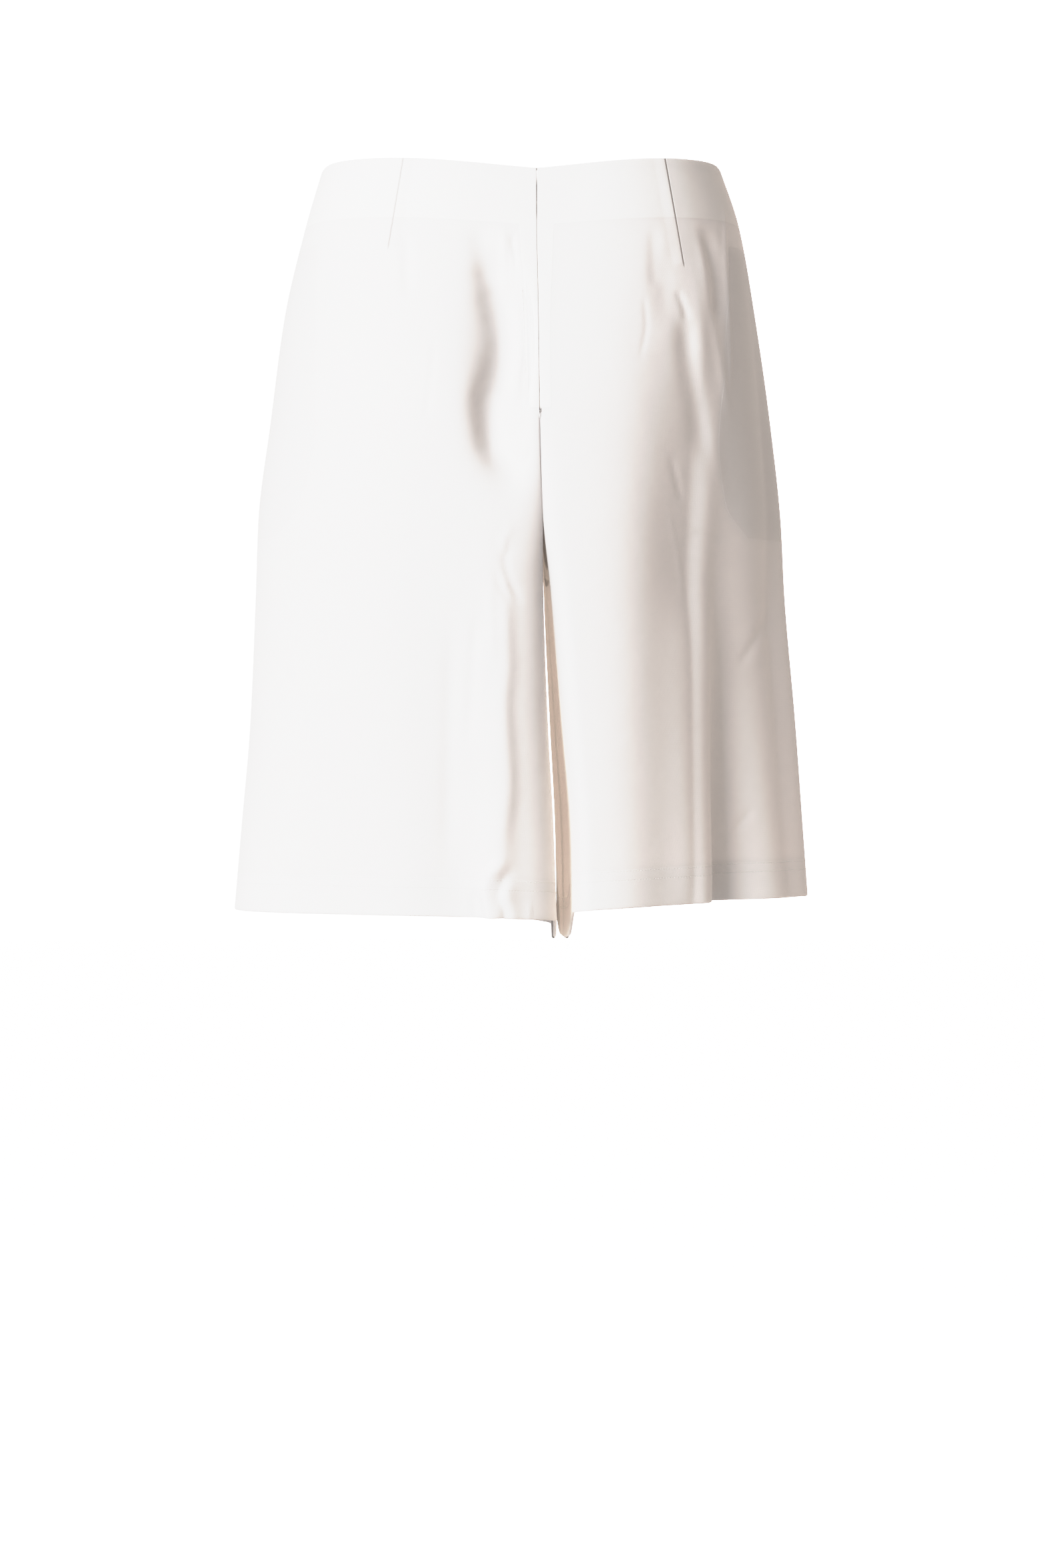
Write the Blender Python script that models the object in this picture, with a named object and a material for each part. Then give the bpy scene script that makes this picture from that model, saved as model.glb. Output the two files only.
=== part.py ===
"""Wide-leg bermuda shorts in their worn shape, hollow and open at the waist and both legs.

Four cloth panels (back and front, left and right) meet at the centre back, the centre front, the side
seams and the inseams. A facing lines the waist, and a pocket bag hangs inside each side seam.
+Z is up, +X is the wearer's left and +Y the wearer's back. The origin is the middle of the waist.
Each panel is a wall laid over horizontal sections of the worn garment, with its folds pressed in.
"""

import math
from collections import namedtuple

import bmesh
import bpy
import numpy as np
from mathutils import Matrix, Vector

MM = 0.001

# Sizes in millimetres.
LENGTH = 540.0  # waist edge to hem at the side seam, straight down
CLOTH = 1.4  # one layer of cloth
HEM_CLOTH = 2.4  # the turned-up hem, two layers pressed flat
HEM_DEPTH = 26.0
SEAM_GAP = 0.3
FACING_DEPTH = 44.0
FACING_CLOTH = 1.0
FACING_DROP = 1.5  # how far the facing's top edge lies below the waist edge
BAG_CLOTH = 1.6  # a pocket bag, two layers
BAG_TOP, BAG_BOTTOM = 62.0, 270.0  # depths of its upper and lower ends
BAG_CLEARANCE = 0.9
TAPE_CLOTH = 1.0
TAPE_WIDTH = 12.0
TAPE_TOP = 4.0
SLIDER_WIDTH, SLIDER_HEIGHT, SLIDER_THICKNESS = 6.0, 9.0, 2.6
SLIDER_DEPTH = 28.0  # its middle, below the level of the waist

# The worn garment's horizontal sections, one row for each depth below the waist edge. left and right are
# the outline; centre and gap place the seat seam and, further down, the space between the legs, at the
# back and at the front. back and front are the crests of seat and belly, side_left and side_right the
# side seams' own place front to back. turn is how wide a leg rounds into its inner face, drop how deep.
Ring = namedtuple(
    "Ring",
    "depth left right centre_back gap_back centre_front gap_front "
    "back front side_left side_right turn_left turn_right drop",
)
RINGS = (
    Ring(0, 143, -141, -10, 0.3, -10, 0.3, 95, -94, 0, 0, 30, 30, 0),
    Ring(45, 156, -156, -10, 0.3, -10, 0.3, 105, -101, 2, 0, 30, 30, 0),
    Ring(110, 171, -168, -11, 0.3, -11, 0.3, 119, -107, 4, -3, 28, 26, 0.6),
    Ring(185, 181, -179, -12, 0.3, -12, 0.3, 129, -109, 5, -7, 26, 18, 3),
    Ring(256, 190, -187, -14, 0.3, -14, 0.3, 126, -109, 4, -12, 30, 15, 16),
    Ring(310, 192, -190, -17, 5, -15.5, 0.8, 121, -108, 2, -16, 36, 14, 24),
    Ring(400, 196, -198, -22.5, 9.5, -19.5, 1.2, 113, -107, 0, -20, 42, 14, 28),
    Ring(480, 203, -204, -28, 12, -23, 2, 106, -106, -3, -23, 44, 14, 30),
    Ring(560, 210, -210, -30, 10, -24.5, 2, 100, -105, -6, -26, 44, 14, 30),
)
SIDE_SQUARENESS = 2.25  # 2 is an ellipse, more is boxier

# The crotch seam: where it leaves the seat, how deep it goes, and where the inseams start from it.
SEAT_SEAM_DEPTH = 185.0
CROTCH_DEPTH = 256.0
INSEAM_Y = -8.0
ROW_AT_SEAT = SEAT_SEAM_DEPTH / LENGTH
ROW_AT_CROTCH = 0.5

# Height of the waist edge and of the hem above the level of their row, by the share of the way from the
# side seam (0) to the inner edge (1).
Edge = namedtuple("Edge", "share rise")
WAIST_EDGE = {
    "back": (Edge(0, -8), Edge(0.2, -3.5), Edge(0.45, -5), Edge(1, -15)),
    "front": (Edge(0, -8), Edge(0.4, -8.5), Edge(1, -14)),
}
HEM_EDGE = {
    ("left", "back"): (Edge(0, 5), Edge(0.35, 2), Edge(0.66, -7), Edge(0.78, -13), Edge(1, -16)),
    ("left", "front"): (Edge(0, 5), Edge(0.35, -2), Edge(0.7, -17), Edge(1, -16)),
    ("right", "back"): (Edge(0, 14), Edge(0.3, 10), Edge(0.5, 4), Edge(0.75, -13), Edge(1, -16)),
    ("right", "front"): (Edge(0, 14), Edge(0.35, 4), Edge(0.7, -15), Edge(1, -16)),
}
WAIST_FADE = 0.3  # share of the length over which the waist edge's shape dies away
HEM_FADE = 0.4

# A pocket bag's outline: how far it reaches from the side seam, by the share of the way down it.
Reach = namedtuple("Reach", "down width")
BAG_OUTLINE = (Reach(0, 60), Reach(0.35, 84), Reach(0.7, 96), Reach(0.9, 86), Reach(1, 62))
BAG_SEAM = 1.5  # it starts this far from the side seam

# Folds pressed into a panel. Each runs from a start to an end depth, with the x it passes at both ends.
# near and far are its half widths towards the centre and the side; a negative sink is a ridge. A hanging
# fold grows all the way to the hem, any other swells and dies away.
Fold = namedtuple("Fold", "leg face start end x_start x_end near far sink hanging")
FOLDS = (
    Fold("right", "back", 30, 560, -150, -168, 24, 32, 54, True),
    Fold("right", "back", 60, 330, -124, -125, 36, 17, 22, True),
    Fold("right", "back", 45, 150, -98, -102, 9, 9, 3, False),
    Fold("right", "back", 60, 210, -122, -132, 8, 8, -3, False),
    Fold("left", "back", 60, 270, 18, 8, 12, 22, 15, False),
    Fold("left", "back", 190, 560, 26, 14, 10, 12, -5, True),
    Fold("left", "back", 240, 560, 60, 44, 18, 26, 6, True),
    Fold("left", "back", 120, 560, 150, 120, 40, 30, 3, True),
    Fold("left", "front", 200, 560, 120, 128, 30, 26, 9, True),
    Fold("left", "front", 260, 560, 40, 44, 22, 22, 5, True),
    Fold("right", "front", 200, 560, -120, -126, 28, 26, 10, True),
    Fold("right", "front", 260, 560, -56, -62, 20, 22, 5, True),
    Fold("left", "front", 60, 230, 70, 40, 16, 16, 3, False),
    Fold("right", "front", 60, 230, -86, -60, 16, 16, 3, False),
)
SIDE_FLAT = 4.0  # the folds leave this much cloth beside a side seam alone
SIDE_REST = 30.0  # and come up to their full depth over this distance
SEAM_REST = 9.0  # or over this one beside an inner edge

LEVEL_STEP = 4.0
LEVELS = np.arange(0.0, 581.0, LEVEL_STEP)
FINE = 240  # parts of a section, a third of them for each of its three stretches
OUTER_COLUMNS, INNER_COLUMNS = 22, 5
FACING_ROWS, ROWS_TO_SEAT, ROWS_TO_CROTCH, ROWS_TO_HEM = 2, 6, 6, 10
BAG_COLUMNS, BAG_ROWS = 9, 10


def follow(places, values, at):
    """A smooth curve through a table's column, which never runs past the values on either side."""
    places, values = np.asarray(places, float), np.asarray(values, float)
    slopes = np.diff(values) / np.diff(places)
    tangents = np.zeros_like(values)
    before, after = slopes[:-1], slopes[1:]
    same_way = before * after > 0
    tangents[1:-1][same_way] = (2 * before * after)[same_way] / (before + after)[same_way]
    tangents[0], tangents[-1] = slopes[0], slopes[-1]
    at = np.clip(at, places[0], places[-1])
    cell = np.clip(np.searchsorted(places, at, side="right") - 1, 0, len(slopes) - 1)
    width = np.diff(places)[cell]
    t = (at - places[cell]) / width
    return (
        values[cell] * (1 + 2 * t) * (1 - t) ** 2
        + tangents[cell] * width * t * (1 - t) ** 2
        + values[cell + 1] * t * t * (3 - 2 * t)
        + tangents[cell + 1] * width * t * t * (t - 1)
    )


def ring(column, depth):
    return follow([r.depth for r in RINGS], [getattr(r, column) for r in RINGS], depth)


def ease(t):
    t = np.clip(t, 0, 1)
    return t * t * (3 - 2 * t)


def section(leg, face, depth, around):
    """The cloth's outer face at these depths. around runs from 0 at the side seam, past 1 at the crest of
    seat or belly and 2 at the end of the turn, to 3 at the inseam."""
    way = 1 if leg == "left" else -1
    other = "front" if face == "back" else "back"
    sink = 1 if face == "back" else -1
    crest = ring(face, depth)
    side = ring("side_" + leg, depth)
    outer = ring(leg, depth)
    inner = ring("centre_" + face, depth) + way * ring("gap_" + face, depth) / 2
    across = ring("centre_" + other, depth) + way * ring("gap_" + other, depth) / 2
    turn = way * ring("turn_" + leg, depth)
    drop = ring("drop", depth)
    top = inner + turn

    angle = np.clip(around, 0, 1) * math.pi / 2
    power = 2 / SIDE_SQUARENESS
    x = top + (outer - top) * np.cos(angle).clip(0) ** power
    y = side + (crest - side) * np.sin(angle) ** power

    t = np.clip(around - 1, 0, 1)
    spread = turn / 2 * np.clip(1 - drop / abs(turn), 0, 1) ** 3
    x = np.where(around > 1, (1 - t) ** 2 * top + 2 * t * (1 - t) * (inner + spread) + t * t * inner, x)
    y = np.where(around > 1, crest - sink * t * t * drop, y)

    t = np.clip(around - 2, 0, 1)
    wall = crest - sink * drop
    far_end = ring(other, depth) + sink * drop
    share = (INSEAM_Y - wall) / (far_end - wall)
    x = np.where(around > 2, inner + (across - inner) * share * t, x)
    y = np.where(around > 2, wall + (INSEAM_Y - wall) * t, y)
    return x, y


def folded(leg, face, depth, x, y):
    """Presses the folds into these sections, along each point's own direction outwards."""
    way = 1 if leg == "left" else -1
    turned = 1 if face == "back" else -1
    dx, dy = np.gradient(x, axis=1), np.gradient(y, axis=1)
    run = np.hypot(dx, dy) + 1e-9
    out_x, out_y = dy / run * way * turned, -dx / run * way * turned
    along = np.cumsum(run, axis=1)
    wall_start = along[:, [2 * FINE // 3]]
    rest = ease((along - SIDE_FLAT) / SIDE_REST) * ease((wall_start - along) / SEAM_REST)
    push = np.zeros_like(x)
    for fold in FOLDS:
        if (fold.leg, fold.face) != (leg, face):
            continue
        t = np.clip((depth - fold.start) / (fold.end - fold.start), 0, 1)
        swell = ease(t) if fold.hanging else np.sin(math.pi * t) ** 2
        outwards = (x - fold.x_start - (fold.x_end - fold.x_start) * t) * way
        width = np.where(outwards < 0, fold.near, fold.far)
        push -= fold.sink * swell * np.exp(-((outwards / width) ** 2))
    return x + out_x * push * rest, y + out_y * push * rest


def cloth_map(leg, face):
    """Sections with their points spaced evenly along the cloth: x, y and length at each level. The first
    half of the points reach the end of the turn, the second half cover the inner face to the inseam."""
    around = np.linspace(0, 3, FINE + 1)[None, :]
    depth = LEVELS[:, None]
    x, y = section(leg, face, depth, around)
    x, y = folded(leg, face, depth, x, y)
    half = 2 * FINE // 3
    even = np.linspace(0, 1, FINE // 2 + 1)
    places, lengths = [], []
    for row_x, row_y in zip(x, y):
        point_x, point_y, length = [], [], []
        for part in (slice(0, half + 1), slice(half, FINE + 1)):
            px, py = row_x[part], row_y[part]
            along = np.concatenate([[0], np.cumsum(np.hypot(np.diff(px), np.diff(py)))])
            point_x.append(np.interp(even * along[-1], along, px))
            point_y.append(np.interp(even * along[-1], along, py))
            length.append(along[-1])
        places.append([np.append(point_x[0], point_x[1][1:]), np.append(point_y[0], point_y[1][1:])])
        lengths.append(length)
    return np.array(places), np.array(lengths)


def read_map(places, across, depth):
    """Points of the cloth: across is 0 at the side seam, 1 at the end of the turn and 2 at the inseam."""
    level = np.clip(depth / LEVEL_STEP, 0, len(LEVELS) - 1.001)
    column = np.clip(across * FINE / 2, 0, FINE - 0.001)
    i, j = level.astype(int), column.astype(int)
    a, b = level - i, column - j
    flat = []
    for k in (0, 1):
        grid = places[:, k]
        top = grid[i, j] * (1 - b) + grid[i, j + 1] * b
        bottom = grid[i + 1, j] * (1 - b) + grid[i + 1, j + 1] * b
        flat.append(top * (1 - a) + bottom * a)
    return np.stack([flat[0], flat[1], -depth], axis=-1)


class Panel:
    """One cut panel. share is 0 at the side seam, 1 at the centre and, below the seat seam, 2 at the seam
    on the leg's inner face. row is 0 at the waist and 1 at the hem."""

    def __init__(self, leg, face):
        self.leg, self.face = leg, face
        self.places, self.lengths = cloth_map(leg, face)
        self.outwards = 1 if (leg == "left") == (face == "back") else -1

    def lie(self, share, row):
        """(across, depth) of these places on the panel."""
        curve = np.clip((row - ROW_AT_SEAT) / (ROW_AT_CROTCH - ROW_AT_SEAT), 0, 1) * math.pi / 2
        reach = 1 - np.cos(curve)
        below = np.clip((row - ROW_AT_CROTCH) / (1 - ROW_AT_CROTCH), 0, 1)
        seam_depth = SEAT_SEAM_DEPTH + (CROTCH_DEPTH - SEAT_SEAM_DEPTH) * np.sin(curve)
        seam_depth += (LENGTH - CROTCH_DEPTH) * below
        inward = np.clip(share - 1, 0, 1) * (row > ROW_AT_SEAT)
        depth = row * LENGTH + (seam_depth - row * LENGTH) * inward

        whole = share / (1 + reach)
        depth -= follow(*zip(*WAIST_EDGE[self.face]), whole) * (1 - ease(row / WAIST_FADE))
        hem = HEM_EDGE[self.leg, self.face]
        depth -= follow(*zip(*hem), whole) * ease((row - 1 + HEM_FADE) / HEM_FADE)

        half_gap = SEAM_GAP / 2
        side_gap = half_gap / np.interp(depth, LEVELS, self.lengths[:, 0])
        seam_gap = half_gap / np.interp(depth, LEVELS, self.lengths[:, 1])
        across = np.where(share < 1, side_gap + share * (1 - side_gap), 1 + inward * (reach - seam_gap))
        return across, depth

    def width(self, row):
        """Length of the cloth around the outside of the section at these rows, from the side seam."""
        return np.interp(row * LENGTH, LEVELS, self.lengths[:, 0])

    def points(self, share, row, inset):
        """Points of the panel, moved inwards from its outer face by the inset."""
        across, depth = self.lie(share, row)
        point = read_map(self.places, across, depth)
        step, fall = 0.004, 2.0
        along = read_map(self.places, across + step, depth) - read_map(self.places, across - step, depth)
        down = read_map(self.places, across, depth + fall) - read_map(self.places, across, depth - fall)
        normal = np.cross(down, along) * self.outwards
        normal /= np.linalg.norm(normal, axis=-1, keepdims=True)
        return point - normal * inset[:, None]


def look(name, colour, roughness, metallic=0.0):
    material = bpy.data.materials.new(name)
    material.use_nodes = True
    shader = material.node_tree.nodes["Principled BSDF"]
    shader.inputs["Base Color"].default_value = (*colour, 1)
    shader.inputs["Roughness"].default_value = roughness
    shader.inputs["Metallic"].default_value = metallic
    material.diffuse_color = (*colour, 1)
    return material


def add_piece(name, mesh, material):
    if mesh.calc_volume(signed=True) < 0:
        bmesh.ops.reverse_faces(mesh, faces=mesh.faces[:])
    data = bpy.data.meshes.new(name)
    mesh.to_mesh(data)
    mesh.free()
    data.shade_smooth()
    data.set_sharp_from_angle(angle=math.radians(50))
    data.materials.append(material)
    piece = bpy.data.objects.new(name, data)
    bpy.context.scene.collection.objects.link(piece)
    return piece


def add_cloth(name, panel, columns, lines, lay, outer_inset, thickness, material):
    """A wall of cloth on a panel: a grid extruded into two layers, each laid at its own depth of cloth.
    lay turns the grid's corners, 0 to 1 both ways, into their share and row on the panel."""
    mesh = bmesh.new()
    bmesh.ops.create_grid(mesh, x_segments=columns, y_segments=lines, size=0.5)
    bmesh.ops.triangulate(mesh, faces=mesh.faces[:], quad_method="FIXED")
    made = bmesh.ops.extrude_face_region(mesh, geom=mesh.faces[:])["geom"]
    inner = {v for v in made if isinstance(v, bmesh.types.BMVert)}
    corners = list(mesh.verts)
    across = np.array([v.co.x + 0.5 for v in corners])
    down = np.array([v.co.y + 0.5 for v in corners])
    share, row = lay(across, down)
    inset = outer_inset + np.array([v in inner for v in corners]) * thickness(row)
    for v, place in zip(corners, panel.points(share, row, inset)):
        v.co = place * MM
    bmesh.ops.remove_doubles(mesh, verts=mesh.verts[:], dist=0.00001)
    return add_piece(name, mesh, material)


def panel_rows():
    """The rows of a panel: close together along the facing and where the crotch seam curves."""
    facing, fold_line = FACING_DEPTH / LENGTH, 1 - HEM_DEPTH / LENGTH
    return np.concatenate(
        [
            np.linspace(0, facing, FACING_ROWS, endpoint=False),
            np.linspace(facing, ROW_AT_SEAT, ROWS_TO_SEAT, endpoint=False),
            np.linspace(ROW_AT_SEAT, ROW_AT_CROTCH, ROWS_TO_CROTCH, endpoint=False),
            np.linspace(ROW_AT_CROTCH, fold_line, ROWS_TO_HEM, endpoint=False),
            [fold_line, 1.0],
        ]
    )


def outer_share(panel, column, row):
    """The columns to the centre are even, but for the last, which is as wide as a tape of the zip."""
    last = OUTER_COLUMNS - 1
    even = 1 - (TAPE_WIDTH + SEAM_GAP) / panel.width(row)
    return np.where(column < OUTER_COLUMNS - 0.5, column / last * even, 1.0)


def add_panel(panel, material):
    """A whole panel. Its columns on the leg's inner face close to one point at the seat seam."""
    rows = panel_rows()
    lines = len(rows) - 1
    columns = OUTER_COLUMNS + INNER_COLUMNS

    def lay(across, down):
        row = rows[np.rint(down * lines).astype(int)]
        inward = (across * columns - OUTER_COLUMNS) / INNER_COLUMNS
        return np.where(inward > 0.01, 1 + inward, outer_share(panel, across * columns, row)), row

    def thickness(row):
        return np.where(row > 0.999, HEM_CLOTH, CLOTH)

    add_cloth(f"{panel.face}_{panel.leg}", panel, columns, lines, lay, 0.0, thickness, material)


def add_facing(panel, material):
    """The facing lines the top of a panel. At the back it stops beside the zip's tape."""
    columns = OUTER_COLUMNS - 1 if panel.face == "back" else OUTER_COLUMNS

    def lay(across, down):
        row = (FACING_DROP + (FACING_DEPTH - FACING_DROP) * down) / LENGTH
        return outer_share(panel, across * columns, row), row

    name = f"facing_{panel.face}_{panel.leg}"
    add_cloth(name, panel, columns, FACING_ROWS, lay, CLOTH + SEAM_GAP, lambda row: FACING_CLOTH, material)


def add_zip_tape(panel, material):
    """One half of the concealed zip, flat against the seat seam's inside, on the panel's last column."""
    rows = panel_rows()[: FACING_ROWS + ROWS_TO_SEAT].copy()
    rows[0] = TAPE_TOP / LENGTH
    lines = len(rows) - 1

    def lay(across, down):
        row = rows[np.rint(down * lines).astype(int)]
        return 1 - (1 - across) * TAPE_WIDTH / panel.width(row), row

    name = f"zip_tape_{panel.leg}"
    add_cloth(name, panel, 1, lines, lay, CLOTH + SEAM_GAP, lambda row: TAPE_CLOTH, material)


def add_pocket_bag(panel, material):
    """A pocket bag is sewn into the side seam, and hangs inside the back panel a little clear of it."""

    def lay(across, down):
        row = (BAG_TOP + (BAG_BOTTOM - BAG_TOP) * down) / LENGTH
        return (BAG_SEAM + across * follow(*zip(*BAG_OUTLINE), down)) / panel.width(row), row

    name = f"pocket_bag_{panel.leg}"
    inset = CLOTH + BAG_CLEARANCE
    add_cloth(name, panel, BAG_COLUMNS, BAG_ROWS, lay, inset, lambda row: BAG_CLOTH, material)


def add_zip_slider(material):
    """The slider is closed, on the inside and just under the waist edge. It leans as the tapes do."""
    half = SLIDER_HEIGHT / 2
    lean = math.atan2(ring("back", SLIDER_DEPTH + half) - ring("back", SLIDER_DEPTH - half), SLIDER_HEIGHT)
    clear = CLOTH + TAPE_CLOTH + 3 * SEAM_GAP + SLIDER_THICKNESS / 2
    y = ring("back", SLIDER_DEPTH) - clear / math.cos(lean)
    mesh = bmesh.new()
    slider = bmesh.ops.create_cube(mesh, size=MM)["verts"]
    bmesh.ops.scale(mesh, verts=slider, vec=(SLIDER_WIDTH, SLIDER_THICKNESS, SLIDER_HEIGHT))
    bmesh.ops.rotate(mesh, verts=slider, matrix=Matrix.Rotation(lean, 3, "X"))
    place = Vector((ring("centre_back", SLIDER_DEPTH), y, -SLIDER_DEPTH)) * MM
    bmesh.ops.translate(mesh, verts=slider, vec=place)
    return add_piece("zip_slider", mesh, material)


for leftover in list(bpy.data.objects):
    bpy.data.objects.remove(leftover, do_unlink=True)

SHELL = look("shell_cloth", (0.86, 0.85, 0.84), 0.62)
FACING = look("facing_cloth", (0.87, 0.86, 0.85), 0.7)
POCKETING = look("pocket_cloth", (0.84, 0.83, 0.81), 0.8)
TAPE = look("zip_tape_cloth", (0.85, 0.84, 0.83), 0.75)
METAL = look("white_lacquer", (0.82, 0.81, 0.8), 0.35, 0.1)

for leg in ("left", "right"):
    for face in ("back", "front"):
        panel = Panel(leg, face)
        add_panel(panel, SHELL)
        add_facing(panel, FACING)
        if face == "back":
            add_pocket_bag(panel, POCKETING)
            add_zip_tape(panel, TAPE)
add_zip_slider(METAL)
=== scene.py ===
"""Wide-leg white bermuda shorts in their worn shape, seen from the back.

The garment is put together here as in a workroom: four panels of crepe, the waist facing, the pocket
bags, the concealed zip at the centre back, and the hems with their double row of stitches. Lengths in
the tables are millimetres. +Z is up, +X is the wearer's left and +Y the wearer's back.
"""

import math
from collections import namedtuple

import bmesh
import bpy
import numpy as np
from mathutils import Matrix, Vector


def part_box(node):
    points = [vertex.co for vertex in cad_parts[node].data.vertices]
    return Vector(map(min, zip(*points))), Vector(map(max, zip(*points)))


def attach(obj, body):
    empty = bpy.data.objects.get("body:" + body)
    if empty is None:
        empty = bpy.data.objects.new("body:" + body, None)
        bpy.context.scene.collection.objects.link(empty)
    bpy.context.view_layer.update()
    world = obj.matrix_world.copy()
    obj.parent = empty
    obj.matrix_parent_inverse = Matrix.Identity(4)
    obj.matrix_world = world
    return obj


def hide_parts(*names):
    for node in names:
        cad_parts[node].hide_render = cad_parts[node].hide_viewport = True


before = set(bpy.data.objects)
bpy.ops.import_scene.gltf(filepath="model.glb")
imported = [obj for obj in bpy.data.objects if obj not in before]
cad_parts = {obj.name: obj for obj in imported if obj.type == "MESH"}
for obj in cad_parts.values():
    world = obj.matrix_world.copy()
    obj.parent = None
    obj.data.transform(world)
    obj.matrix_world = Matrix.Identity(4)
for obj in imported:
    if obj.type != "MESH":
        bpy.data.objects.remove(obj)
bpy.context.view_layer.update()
MM = 0.001

# ---------------------------------------------------------------------------------------------------
# The view. The photograph is taken level, from behind and from about three metres, with a long lens.
PHOTO_PIXELS = (1568, 2352)
MM_PER_PIXEL = 0.4808  # in the plane of the side seams
CAMERA_AWAY = 3.0
CAMERA_HEIGHT = -0.445
SENSOR = 36.0
NEAREST, FARTHEST = 0.05, 60

view = bpy.data.objects.new("view", bpy.data.cameras.new("view"))
bpy.context.scene.collection.objects.link(view)
view.location = (0.0, CAMERA_AWAY, CAMERA_HEIGHT)
view.rotation_euler = (math.radians(90), 0, math.radians(180))
view.data.sensor_width = SENSOR
view.data.lens = SENSOR * CAMERA_AWAY / (MM_PER_PIXEL * MM * max(PHOTO_PIXELS))
view.data.clip_start = NEAREST
view.data.clip_end = FARTHEST
bpy.context.scene.camera = view

# The print. Its whites level off a little below the paper's own white, as on the photograph.
Tone = namedtuple("Tone", "light shown")
TONES = (Tone(0, 0), Tone(0.42, 0.44), Tone(0.58, 0.68), Tone(0.72, 0.85), Tone(0.92, 0.91), Tone(1.6, 0.945))
PAPER = Tone(3.0, 1.0)
print_look = bpy.context.scene.view_settings
print_look.view_transform = "Standard"
print_look.use_curve_mapping = True
print_curves = print_look.curve_mapping
print_curves.clip_max_x = PAPER.light
curve = print_curves.curves[3]
curve.points[-1].location = PAPER
for tone in TONES[1:]:
    curve.points.new(*tone)
print_curves.update()

# The studio. A plain pale floor, and a white surround far off that only the camera sees. A large soft
# light stands at the left of the camera, a small warm one lies low at the right, and two faint ones shine
# between the legs. The air is bright behind the garment, cool at the camera's left and warm at its right.
FLOOR_Z = -1.0
STUDIO_WIDTH = 24.0
FLOOR_WHITE, FLOOR_GLOW = (0.9, 0.9, 0.9), 0.8  # the glow as a share of the paper's
KEY_PLACE, KEY_AT, KEY_SIDES = Vector((1.95, 2.72, 0.4)), Vector((0, 0, -0.3)), (1.9, 1.9)
KEY_POWER, KEY_COLOUR = 135, (0.97, 0.985, 1.0)
LOW_PLACE, LOW_AT, LOW_SIDES = Vector((-0.8, 0.35, -0.85)), Vector((-0.16, 0.02, -0.42)), (0.5, 0.5)
LOW_POWER, LOW_COLOUR = 1.2, (1.0, 0.9, 0.8)
BETWEEN_PLACE, BETWEEN_WAY = Vector((-0.0224, 0.0, -0.423)), Vector((-1.0, -0.018, 0.045))
BETWEEN_SIDES, BETWEEN_POWER, BETWEEN_COLOUR = (0.19, 0.3), 0.05, (1.0, 0.86, 0.74)
AIR_LEFT, AIR_RIGHT, AIR_BEHIND = (0.44, 0.45, 0.48), (0.46, 0.415, 0.385), (1.2, 1.1, 1.02)
BEHIND_STARTS = 0.2  # Y of the direction where the air behind begins to tell


def studio_white(name, colour, glow):
    material = bpy.data.materials.new(name)
    material.use_nodes = True
    shader = material.node_tree.nodes["Principled BSDF"]
    shader.inputs["Base Color"].default_value = (*colour, 1)
    shader.inputs["Roughness"].default_value = 0.9
    shader.inputs["Emission Color"].default_value = (1, 1, 1, 1)
    shader.inputs["Emission Strength"].default_value = glow
    return material


def studio_object(name, mesh, material):
    data = bpy.data.meshes.new(name)
    mesh.to_mesh(data)
    mesh.free()
    data.materials.append(material)
    thing = bpy.data.objects.new(name, data)
    bpy.context.scene.collection.objects.link(thing)
    return thing


def soft_light(name, place, way, sides, power, colour):
    light = bpy.data.objects.new(name, bpy.data.lights.new(name, "AREA"))
    bpy.context.scene.collection.objects.link(light)
    light.data.shape = "RECTANGLE"
    light.data.size, light.data.size_y = sides
    light.data.energy = power
    light.data.color = colour
    light.location = place
    light.rotation_euler = way.to_track_quat("-Z", "Y").to_euler()
    return light


floor_mesh = bmesh.new()
bmesh.ops.create_grid(floor_mesh, x_segments=1, y_segments=1, size=STUDIO_WIDTH / 2)
bmesh.ops.translate(floor_mesh, verts=floor_mesh.verts[:], vec=(0, 0, FLOOR_Z))
floor = studio_object("floor", floor_mesh, studio_white("floor_white", FLOOR_WHITE, FLOOR_GLOW * PAPER.light))

surround_mesh = bmesh.new()
bmesh.ops.create_icosphere(surround_mesh, subdivisions=4, radius=STUDIO_WIDTH / 2)
surround = studio_object("surround", surround_mesh, studio_white("surround_white", (1, 1, 1), PAPER.light))
for thing in (floor, surround):
    for ray in ("diffuse", "glossy", "transmission", "volume_scatter", "shadow"):
        setattr(thing, f"visible_{ray}", False)

soft_light("key", KEY_PLACE, KEY_AT - KEY_PLACE, KEY_SIDES, KEY_POWER, KEY_COLOUR)
soft_light("low", LOW_PLACE, LOW_AT - LOW_PLACE, LOW_SIDES, LOW_POWER, LOW_COLOUR)
for way in (BETWEEN_WAY, -BETWEEN_WAY):
    glow = soft_light("between_legs", BETWEEN_PLACE, way, BETWEEN_SIDES, BETWEEN_POWER, BETWEEN_COLOUR)
    glow.visible_camera = False

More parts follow.
